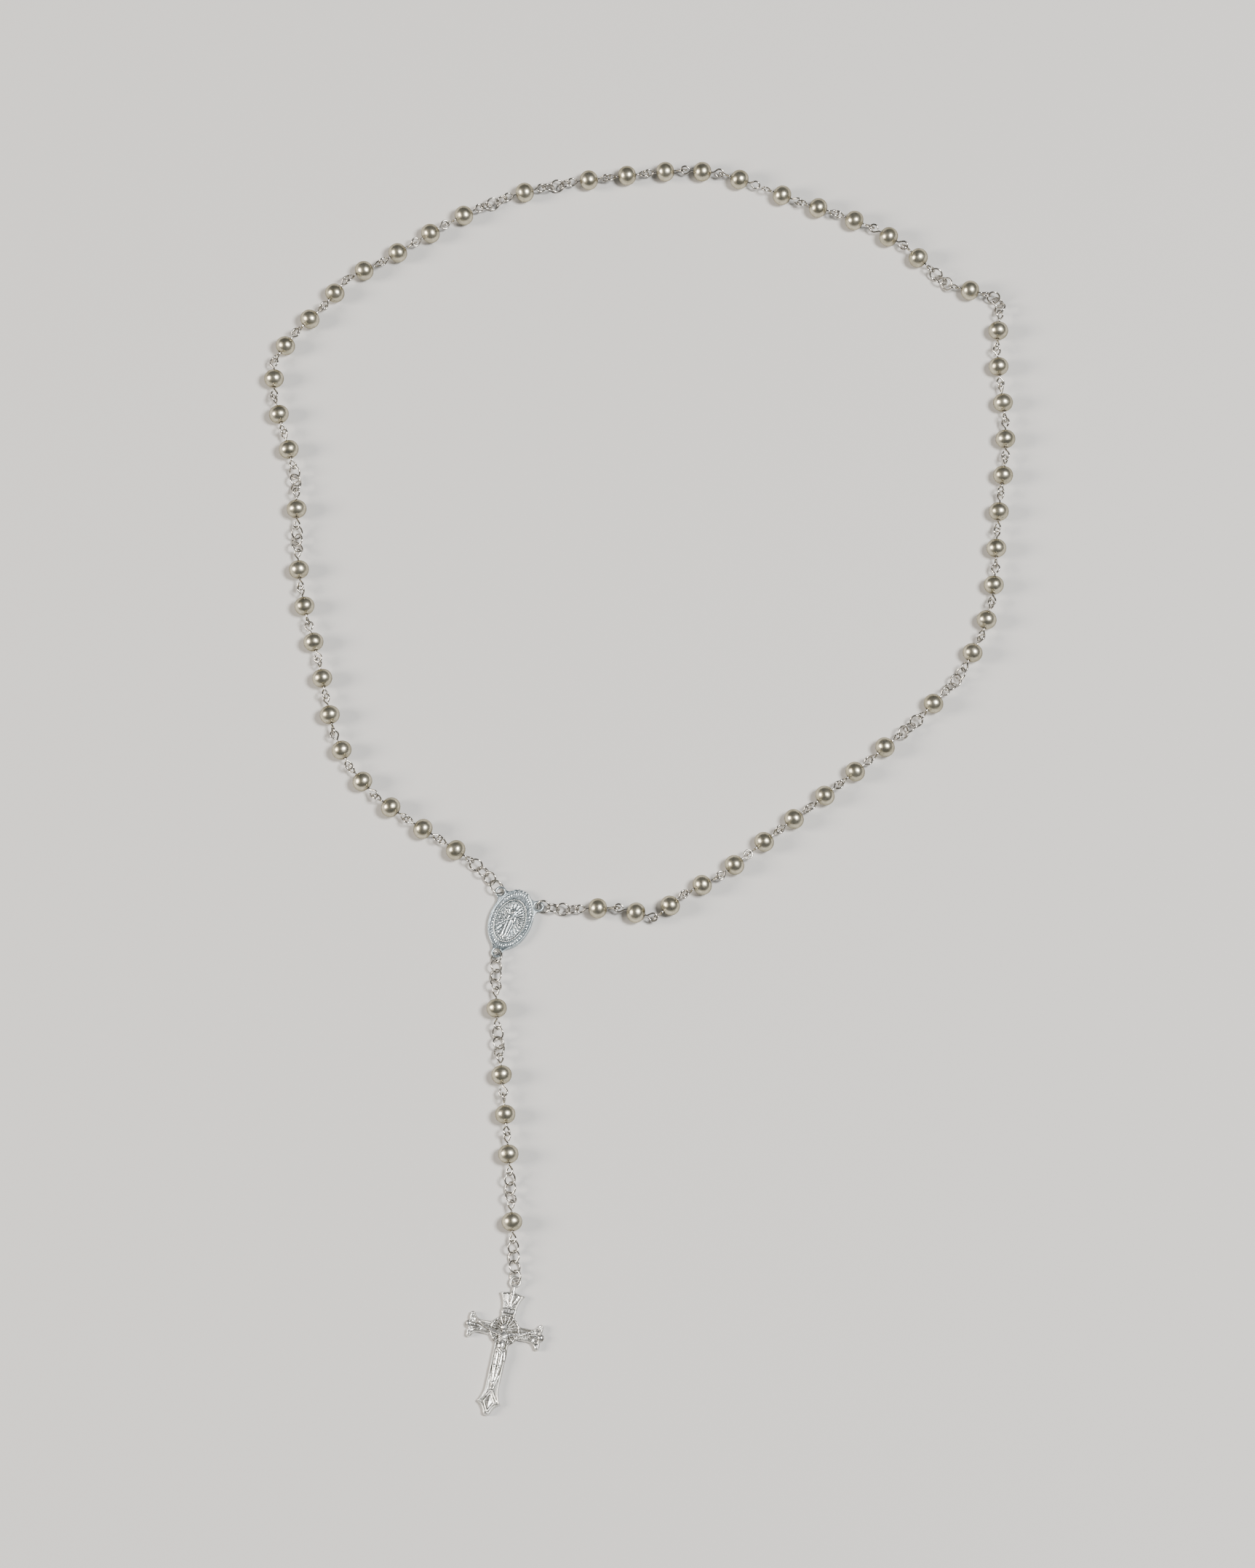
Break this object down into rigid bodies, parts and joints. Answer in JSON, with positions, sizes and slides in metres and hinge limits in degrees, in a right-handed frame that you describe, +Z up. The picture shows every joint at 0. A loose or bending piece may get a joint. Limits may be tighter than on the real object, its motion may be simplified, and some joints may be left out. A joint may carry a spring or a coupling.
{
  "type": "rosary",
  "caption": "Metal rosary laid out flat: a closed loop of round beads on hooked wire pins, an oval centre medal and a pendant chain with a crucifix.",
  "frame": {"origin": "middle of the centre medal's back face, on the surface that the rosary lies on", "axes": "+Z up out of the medal's front, +Y from the medal across the loop, -Y along the pendant"},
  "size_m": [0.2273, 0.3914, 0.006],
  "materials": {
    "bead_silver": "satin, tarnished",
    "medal_silver": "cast relief, worn bright on the high places",
    "crucifix_silver": "cast relief, worn bright on the high places"
  },
  "bodies": {
    "decade_1_hail_mary_01": {"decade_1_hail_mary_01": "bead_silver"},
    "decade_1_hail_mary_02": {"decade_1_hail_mary_02": "bead_silver"},
    "decade_1_hail_mary_03": {"decade_1_hail_mary_03": "bead_silver"},
    "decade_1_hail_mary_04": {"decade_1_hail_mary_04": "bead_silver"},
    "decade_1_hail_mary_05": {"decade_1_hail_mary_05": "bead_silver"},
    "decade_1_hail_mary_06": {"decade_1_hail_mary_06": "bead_silver"},
    "decade_1_hail_mary_07": {"decade_1_hail_mary_07": "bead_silver"},
    "decade_1_hail_mary_08": {"decade_1_hail_mary_08": "bead_silver"},
    "decade_1_hail_mary_09": {"decade_1_hail_mary_09": "bead_silver"},
    "decade_1_hail_mary_10": {"decade_1_hail_mary_10": "bead_silver"},
    "loop_our_father_1": {"loop_our_father_1": "bead_silver"},
    "decade_2_hail_mary_01": {"decade_2_hail_mary_01": "bead_silver"},
    "decade_2_hail_mary_02": {"decade_2_hail_mary_02": "bead_silver"},
    "decade_2_hail_mary_03": {"decade_2_hail_mary_03": "bead_silver"},
    "decade_2_hail_mary_04": {"decade_2_hail_mary_04": "bead_silver"},
    "decade_2_hail_mary_05": {"decade_2_hail_mary_05": "bead_silver"},
    "decade_2_hail_mary_06": {"decade_2_hail_mary_06": "bead_silver"},
    "decade_2_hail_mary_07": {"decade_2_hail_mary_07": "bead_silver"},
    "decade_2_hail_mary_08": {"decade_2_hail_mary_08": "bead_silver"},
    "decade_2_hail_mary_09": {"decade_2_hail_mary_09": "bead_silver"},
    "decade_2_hail_mary_10": {"decade_2_hail_mary_10": "bead_silver"},
    "loop_our_father_2": {"loop_our_father_2": "bead_silver"},
    "decade_3_hail_mary_01": {"decade_3_hail_mary_01": "bead_silver"},
    "decade_3_hail_mary_02": {"decade_3_hail_mary_02": "bead_silver"},
    "decade_3_hail_mary_03": {"decade_3_hail_mary_03": "bead_silver"},
    "decade_3_hail_mary_04": {"decade_3_hail_mary_04": "bead_silver"},
    "decade_3_hail_mary_05": {"decade_3_hail_mary_05": "bead_silver"},
    "decade_5_hail_mary_10": {"decade_5_hail_mary_10": "bead_silver"},
    "decade_5_hail_mary_09": {"decade_5_hail_mary_09": "bead_silver"},
    "decade_5_hail_mary_08": {"decade_5_hail_mary_08": "bead_silver"},
    "decade_5_hail_mary_07": {"decade_5_hail_mary_07": "bead_silver"},
    "decade_5_hail_mary_06": {"decade_5_hail_mary_06": "bead_silver"},
    "decade_5_hail_mary_05": {"decade_5_hail_mary_05": "bead_silver"},
    "decade_5_hail_mary_04": {"decade_5_hail_mary_04": "bead_silver"},
    "decade_5_hail_mary_03": {"decade_5_hail_mary_03": "bead_silver"},
    "decade_5_hail_mary_02": {"decade_5_hail_mary_02": "bead_silver"},
    "decade_5_hail_mary_01": {"decade_5_hail_mary_01": "bead_silver"},
    "loop_our_father_4": {"loop_our_father_4": "bead_silver"},
    "decade_4_hail_mary_10": {"decade_4_hail_mary_10": "bead_silver"},
    "decade_4_hail_mary_09": {"decade_4_hail_mary_09": "bead_silver"},
    "decade_4_hail_mary_08": {"decade_4_hail_mary_08": "bead_silver"},
    "decade_4_hail_mary_07": {"decade_4_hail_mary_07": "bead_silver"},
    "decade_4_hail_mary_06": {"decade_4_hail_mary_06": "bead_silver"},
    "decade_4_hail_mary_05": {"decade_4_hail_mary_05": "bead_silver"},
    "decade_4_hail_mary_04": {"decade_4_hail_mary_04": "bead_silver"},
    "decade_4_hail_mary_03": {"decade_4_hail_mary_03": "bead_silver"},
    "decade_4_hail_mary_02": {"decade_4_hail_mary_02": "bead_silver"},
    "loop_our_father_3_and_decade_4_hail_mary_01": {"loop_our_father_3_and_decade_4_hail_mary_01": "bead_silver"},
    "decade_3_hail_mary_10": {"decade_3_hail_mary_10": "bead_silver"},
    "decade_3_hail_mary_09": {"decade_3_hail_mary_09": "bead_silver"},
    "decade_3_hail_mary_08": {"decade_3_hail_mary_08": "bead_silver"},
    "decade_3_hail_mary_07": {"decade_3_hail_mary_07": "bead_silver"},
    "decade_3_hail_mary_06": {"decade_3_hail_mary_06": "bead_silver"},
    "pendant_our_father_1": {"pendant_our_father_1": "bead_silver"},
    "pendant_hail_mary_1": {"pendant_hail_mary_1": "bead_silver"},
    "pendant_hail_mary_2": {"pendant_hail_mary_2": "bead_silver"},
    "pendant_hail_mary_3": {"pendant_hail_mary_3": "bead_silver"},
    "pendant_our_father_2": {"pendant_our_father_2": "bead_silver"},
    "centre_medal": {"centre_medal": "medal_silver"},
    "crucifix": {"crucifix": "crucifix_silver"}
  },
  "joints": [
    {"name": "decade_1_hail_mary_01_hinge", "type": "hinge", "parent": "centre_medal", "child": "decade_1_hail_mary_01", "pos_m": [-0.00341, 0.00893, 0.0014], "axis": [-0.8154, -0.5789, 0], "range_deg": [0, 28]},
    {"name": "decade_1_hail_mary_02_hinge", "type": "hinge", "parent": "decade_1_hail_mary_01", "child": "decade_1_hail_mary_02", "pos_m": [-0.02119, 0.02445, 0.003], "axis": [0.5574, 0.8303, 0], "range_deg": [-50, 50]},
    {"name": "decade_1_hail_mary_03_hinge", "type": "hinge", "parent": "decade_1_hail_mary_02", "child": "decade_1_hail_mary_03", "pos_m": [-0.03114, 0.03075, 0.003], "axis": [0.5745, 0.8185, 0], "range_deg": [-50, 50]},
    {"name": "decade_1_hail_mary_04_hinge", "type": "hinge", "parent": "decade_1_hail_mary_03", "child": "decade_1_hail_mary_04", "pos_m": [-0.04045, 0.03797, 0.003], "axis": [-0.6884, -0.7253, 0], "range_deg": [-50, 50]},
    {"name": "decade_1_hail_mary_05_hinge", "type": "hinge", "parent": "decade_1_hail_mary_04", "child": "decade_1_hail_mary_05", "pos_m": [-0.04814, 0.04689, 0.003], "axis": [-0.8413, -0.5406, 0], "range_deg": [-50, 50]},
    {"name": "decade_1_hail_mary_06_hinge", "type": "hinge", "parent": "decade_1_hail_mary_05", "child": "decade_1_hail_mary_06", "pos_m": [-0.05306, 0.05759, 0.003], "axis": [0.949, 0.3152, 0], "range_deg": [-50, 50]},
    {"name": "decade_1_hail_mary_07_hinge", "type": "hinge", "parent": "decade_1_hail_mary_06", "child": "decade_1_hail_mary_07", "pos_m": [-0.05552, 0.06911, 0.003], "axis": [0.9789, 0.2043, 0], "range_deg": [-50, 50]},
    {"name": "decade_1_hail_mary_08_hinge", "type": "hinge", "parent": "decade_1_hail_mary_07", "child": "decade_1_hail_mary_08", "pos_m": [-0.05787, 0.08065, 0.003], "axis": [-0.972, -0.2348, 0], "range_deg": [-50, 50]},
    {"name": "decade_1_hail_mary_09_hinge", "type": "hinge", "parent": "decade_1_hail_mary_08", "child": "decade_1_hail_mary_09", "pos_m": [-0.06105, 0.09199, 0.003], "axis": [-0.9699, -0.2436, 0], "range_deg": [-50, 50]},
    {"name": "decade_1_hail_mary_10_hinge", "type": "hinge", "parent": "decade_1_hail_mary_09", "child": "decade_1_hail_mary_10", "pos_m": [-0.06361, 0.10349, 0.003], "axis": [0.9878, 0.1558, 0], "range_deg": [-50, 50]},
    {"name": "loop_our_father_1_hinge", "type": "hinge", "parent": "decade_1_hail_mary_10", "child": "loop_our_father_1", "pos_m": [-0.06484, 0.11789, 0.0018], "axis": [0.9993, 0.0369, 0], "range_deg": [-45, 45]},
    {"name": "decade_2_hail_mary_01_hinge", "type": "hinge", "parent": "loop_our_father_1", "child": "decade_2_hail_mary_01", "pos_m": [-0.06581, 0.13966, 0.0018], "axis": [-0.9918, -0.1276, 0], "range_deg": [-45, 45]},
    {"name": "decade_2_hail_mary_02_hinge", "type": "hinge", "parent": "decade_2_hail_mary_01", "child": "decade_2_hail_mary_02", "pos_m": [-0.06943, 0.15363, 0.003], "axis": [-0.9634, -0.2681, 0], "range_deg": [-50, 50]},
    {"name": "decade_2_hail_mary_03_hinge", "type": "hinge", "parent": "decade_2_hail_mary_02", "child": "decade_2_hail_mary_03", "pos_m": [-0.07255, 0.16499, 0.003], "axis": [0.9899, 0.1419, 0], "range_deg": [-50, 50]},
    {"name": "decade_2_hail_mary_04_hinge", "type": "hinge", "parent": "decade_2_hail_mary_03", "child": "decade_2_hail_mary_04", "pos_m": [-0.07275, 0.17677, 0.003], "axis": [0.9557, -0.2945, 0], "range_deg": [-40, 40]},
    {"name": "decade_2_hail_mary_05_hinge", "type": "hinge", "parent": "decade_2_hail_mary_04", "child": "decade_2_hail_mary_05", "pos_m": [-0.06607, 0.18623, 0.003], "axis": [-0.7663, 0.6425, 0], "range_deg": [-35, 35]},
    {"name": "decade_2_hail_mary_06_hinge", "type": "hinge", "parent": "decade_2_hail_mary_05", "child": "decade_2_hail_mary_06", "pos_m": [-0.05806, 0.19431, 0.003], "axis": [-0.7518, 0.6594, 0], "range_deg": [-35, 35]},
    {"name": "decade_2_hail_mary_07_hinge", "type": "hinge", "parent": "decade_2_hail_mary_06", "child": "decade_2_hail_mary_07", "pos_m": [-0.05097, 0.20347, 0.003], "axis": [0.6395, -0.7688, 0], "range_deg": [-45, 45]},
    {"name": "decade_2_hail_mary_08_hinge", "type": "hinge", "parent": "decade_2_hail_mary_07", "child": "decade_2_hail_mary_08", "pos_m": [-0.0405, 0.20886, 0.003], "axis": [0.5006, -0.8657, 0], "range_deg": [-50, 50]},
    {"name": "decade_2_hail_mary_09_hinge", "type": "hinge", "parent": "decade_2_hail_mary_08", "child": "decade_2_hail_mary_09", "pos_m": [-0.0306, 0.21524, 0.003], "axis": [-0.5425, 0.8401, 0], "range_deg": [-50, 50]},
    {"name": "decade_2_hail_mary_10_hinge", "type": "hinge", "parent": "decade_2_hail_mary_09", "child": "decade_2_hail_mary_10", "pos_m": [-0.02071, 0.22164, 0.003], "axis": [-0.5035, 0.864, 0], "range_deg": [-50, 50]},
    {"name": "loop_our_father_2_hinge", "type": "hinge", "parent": "decade_2_hail_mary_10", "child": "loop_our_father_2", "pos_m": [-0.00783, 0.22819, 0.0018], "axis": [0.394, -0.9191, 0], "range_deg": [-45, 45]},
    {"name": "decade_3_hail_mary_01_hinge", "type": "hinge", "parent": "loop_our_father_2", "child": "decade_3_hail_mary_01", "pos_m": [0.01422, 0.23482, 0.0018], "axis": [0.1813, -0.9834, 0], "range_deg": [-45, 45]},
    {"name": "decade_3_hail_mary_02_hinge", "type": "hinge", "parent": "decade_3_hail_mary_01", "child": "decade_3_hail_mary_02", "pos_m": [0.02852, 0.23686, 0.003], "axis": [-0.1283, 0.9917, 0], "range_deg": [-50, 50]},
    {"name": "decade_3_hail_mary_03_hinge", "type": "hinge", "parent": "decade_3_hail_mary_02", "child": "decade_3_hail_mary_03", "pos_m": [0.04022, 0.23829, 0.003], "axis": [-0.1097, 0.994, 0], "range_deg": [-50, 50]},
    {"name": "decade_3_hail_mary_04_hinge", "type": "hinge", "parent": "decade_3_hail_mary_03", "child": "decade_3_hail_mary_04", "pos_m": [0.05174, 0.23942, 0.003], "axis": [0.0014, -1, 0], "range_deg": [-35, 35]},
    {"name": "decade_3_hail_mary_05_hinge", "type": "hinge", "parent": "decade_3_hail_mary_04", "child": "decade_3_hail_mary_05", "pos_m": [0.06327, 0.23832, 0.003], "axis": [-0.2239, -0.9746, 0], "range_deg": [-50, 50]},
    {"name": "decade_5_hail_mary_10_hinge", "type": "hinge", "parent": "centre_medal", "child": "decade_5_hail_mary_10", "pos_m": [0.00866, 0.00402, 0.0014], "axis": [0.1302, 0.9915, 0], "range_deg": [-5, 30]},
    {"name": "decade_5_hail_mary_09_hinge", "type": "hinge", "parent": "decade_5_hail_mary_10", "child": "decade_5_hail_mary_09", "pos_m": [0.03146, 0.0032, 0.003], "axis": [-0.1179, -0.993, 0], "range_deg": [-35, 35]},
    {"name": "decade_5_hail_mary_08_hinge", "type": "hinge", "parent": "decade_5_hail_mary_09", "child": "decade_5_hail_mary_08", "pos_m": [0.04265, 0.00005, 0.003], "axis": [0.2139, -0.9769, 0], "range_deg": [-15, 15]},
    {"name": "decade_5_hail_mary_07_hinge", "type": "hinge", "parent": "decade_5_hail_mary_08", "child": "decade_5_hail_mary_07", "pos_m": [0.05151, 0.00759, 0.003], "axis": [-0.5563, 0.831, 0], "range_deg": [-35, 35]},
    {"name": "decade_5_hail_mary_06_hinge", "type": "hinge", "parent": "decade_5_hail_mary_07", "child": "decade_5_hail_mary_06", "pos_m": [0.06172, 0.01283, 0.003], "axis": [-0.5441, 0.839, 0], "range_deg": [-35, 35]},
    {"name": "decade_5_hail_mary_05_hinge", "type": "hinge", "parent": "decade_5_hail_mary_06", "child": "decade_5_hail_mary_05", "pos_m": [0.07063, 0.01999, 0.003], "axis": [0.6303, -0.7763, 0], "range_deg": [-35, 35]},
    {"name": "decade_5_hail_mary_04_hinge", "type": "hinge", "parent": "decade_5_hail_mary_05", "child": "decade_5_hail_mary_04", "pos_m": [0.07943, 0.02721, 0.003], "axis": [0.6239, -0.7815, 0], "range_deg": [-35, 35]},
    {"name": "decade_5_hail_mary_03_hinge", "type": "hinge", "parent": "decade_5_hail_mary_04", "child": "decade_5_hail_mary_03", "pos_m": [0.08857, 0.03431, 0.003], "axis": [-0.6198, 0.7847, 0], "range_deg": [-50, 50]},
    {"name": "decade_5_hail_mary_02_hinge", "type": "hinge", "parent": "decade_5_hail_mary_03", "child": "decade_5_hail_mary_02", "pos_m": [0.09775, 0.04169, 0.003], "axis": [-0.637, 0.7709, 0], "range_deg": [-50, 50]},
    {"name": "decade_5_hail_mary_01_hinge", "type": "hinge", "parent": "decade_5_hail_mary_02", "child": "decade_5_hail_mary_01", "pos_m": [0.10673, 0.04931, 0.003], "axis": [0.6514, -0.7587, 0], "range_deg": [-50, 50]},
    {"name": "loop_our_father_4_hinge", "type": "hinge", "parent": "decade_5_hail_mary_01", "child": "loop_our_father_4", "pos_m": [0.11763, 0.0588, 0.0018], "axis": [0.668, -0.7441, 0], "range_deg": [-45, 45]},
    {"name": "decade_4_hail_mary_10_hinge", "type": "hinge", "parent": "loop_our_father_4", "child": "decade_4_hail_mary_10", "pos_m": [0.13343, 0.07556, 0.0018], "axis": [-0.8067, 0.591, 0], "range_deg": [-45, 45]},
    {"name": "decade_4_hail_mary_09_hinge", "type": "hinge", "parent": "decade_4_hail_mary_10", "child": "decade_4_hail_mary_09", "pos_m": [0.14044, 0.08795, 0.003], "axis": [-0.9227, 0.3856, 0], "range_deg": [-35, 35]},
    {"name": "decade_4_hail_mary_08_hinge", "type": "hinge", "parent": "decade_4_hail_mary_09", "child": "decade_4_hail_mary_08", "pos_m": [0.14377, 0.09883, 0.003], "axis": [0.9785, -0.2061, 0], "range_deg": [-35, 35]},
    {"name": "decade_4_hail_mary_07_hinge", "type": "hinge", "parent": "decade_4_hail_mary_08", "child": "decade_4_hail_mary_07", "pos_m": [0.14513, 0.11033, 0.003], "axis": [0.9966, -0.0824, 0], "range_deg": [-50, 50]},
    {"name": "decade_4_hail_mary_06_hinge", "type": "hinge", "parent": "decade_4_hail_mary_07", "child": "decade_4_hail_mary_06", "pos_m": [0.14569, 0.12209, 0.003], "axis": [-0.9968, 0.0803, 0], "range_deg": [-50, 50]},
    {"name": "decade_4_hail_mary_05_hinge", "type": "hinge", "parent": "decade_4_hail_mary_06", "child": "decade_4_hail_mary_05", "pos_m": [0.14702, 0.1338, 0.003], "axis": [-0.9921, 0.1255, 0], "range_deg": [-50, 50]},
    {"name": "decade_4_hail_mary_04_hinge", "type": "hinge", "parent": "decade_4_hail_mary_05", "child": "decade_4_hail_mary_04", "pos_m": [0.14865, 0.14547, 0.003], "axis": [0.997, -0.0776, 0], "range_deg": [-50, 50]},
    {"name": "decade_4_hail_mary_03_hinge", "type": "hinge", "parent": "decade_4_hail_mary_04", "child": "decade_4_hail_mary_03", "pos_m": [0.14885, 0.15724, 0.003], "axis": [0.999, 0.0442, 0], "range_deg": [-50, 50]},
    {"name": "decade_4_hail_mary_02_hinge", "type": "hinge", "parent": "decade_4_hail_mary_03", "child": "decade_4_hail_mary_02", "pos_m": [0.14761, 0.16896, 0.003], "axis": [-0.9952, -0.0977, 0], "range_deg": [-50, 50]},
    {"name": "loop_our_father_3_and_decade_4_hail_mary_01_hinge", "type": "hinge", "parent": "decade_4_hail_mary_02", "child": "loop_our_father_3_and_decade_4_hail_mary_01", "pos_m": [0.14654, 0.18069, 0.003], "axis": [-1, 0.0097, 0], "range_deg": [-50, 50]},
    {"name": "decade_3_hail_mary_10_hinge", "type": "hinge", "parent": "loop_our_father_3_and_decade_4_hail_mary_01", "child": "decade_3_hail_mary_10", "pos_m": [0.12928, 0.20438, 0.0018], "axis": [0.7096, 0.7046, 0], "range_deg": [-45, 45]},
    {"name": "decade_3_hail_mary_09_hinge", "type": "hinge", "parent": "decade_3_hail_mary_10", "child": "decade_3_hail_mary_09", "pos_m": [0.11907, 0.21432, 0.003], "axis": [0.6138, 0.7895, 0], "range_deg": [-35, 35]},
    {"name": "decade_3_hail_mary_08_hinge", "type": "hinge", "parent": "decade_3_hail_mary_09", "child": "decade_3_hail_mary_08", "pos_m": [0.10925, 0.22046, 0.003], "axis": [-0.4576, -0.8892, 0], "range_deg": [-50, 50]},
    {"name": "decade_3_hail_mary_07_hinge", "type": "hinge", "parent": "decade_3_hail_mary_08", "child": "decade_3_hail_mary_07", "pos_m": [0.09836, 0.22495, 0.003], "axis": [-0.3527, -0.9358, 0], "range_deg": [-50, 50]},
    {"name": "decade_3_hail_mary_06_hinge", "type": "hinge", "parent": "decade_3_hail_mary_07", "child": "decade_3_hail_mary_06", "pos_m": [0.08722, 0.22877, 0.003], "axis": [0.3566, 0.9342, 0], "range_deg": [-50, 50]},
    {"name": "pendant_our_father_1_hinge", "type": "hinge", "parent": "centre_medal", "child": "pendant_our_father_1", "pos_m": [-0.00404, -0.01056, 0.0014], "axis": [0.9996, -0.0267, 0], "range_deg": [-5, 30]},
    {"name": "pendant_hail_mary_1_hinge", "type": "hinge", "parent": "pendant_our_father_1", "child": "pendant_hail_mary_1", "pos_m": [-0.00324, -0.03936, 0.0018], "axis": [0, 0, -1], "range_deg": [-45, 45]},
    {"name": "pendant_hail_mary_2_hinge", "type": "hinge", "parent": "pendant_hail_mary_1", "child": "pendant_hail_mary_2", "pos_m": [-0.0018, -0.05403, 0.003], "axis": [-0.9956, -0.0942, 0], "range_deg": [-50, 50]},
    {"name": "pendant_hail_mary_3_hinge", "type": "hinge", "parent": "pendant_hail_mary_2", "child": "pendant_hail_mary_3", "pos_m": [-0.00072, -0.06603, 0.003], "axis": [0, 0, 1], "range_deg": [-50, 50]},
    {"name": "pendant_our_father_2_hinge", "type": "hinge", "parent": "pendant_hail_mary_3", "child": "pendant_our_father_2", "pos_m": [0.00027, -0.08073, 0.0018], "axis": [0.9986, 0.0532, 0], "range_deg": [-45, 45]},
    {"name": "crucifix_hinge", "type": "hinge", "parent": "pendant_our_father_2", "child": "crucifix", "pos_m": [0.00206, -0.1095, 0.0014], "axis": [0, 0, 1], "range_deg": [0, 45]}
  ]
}
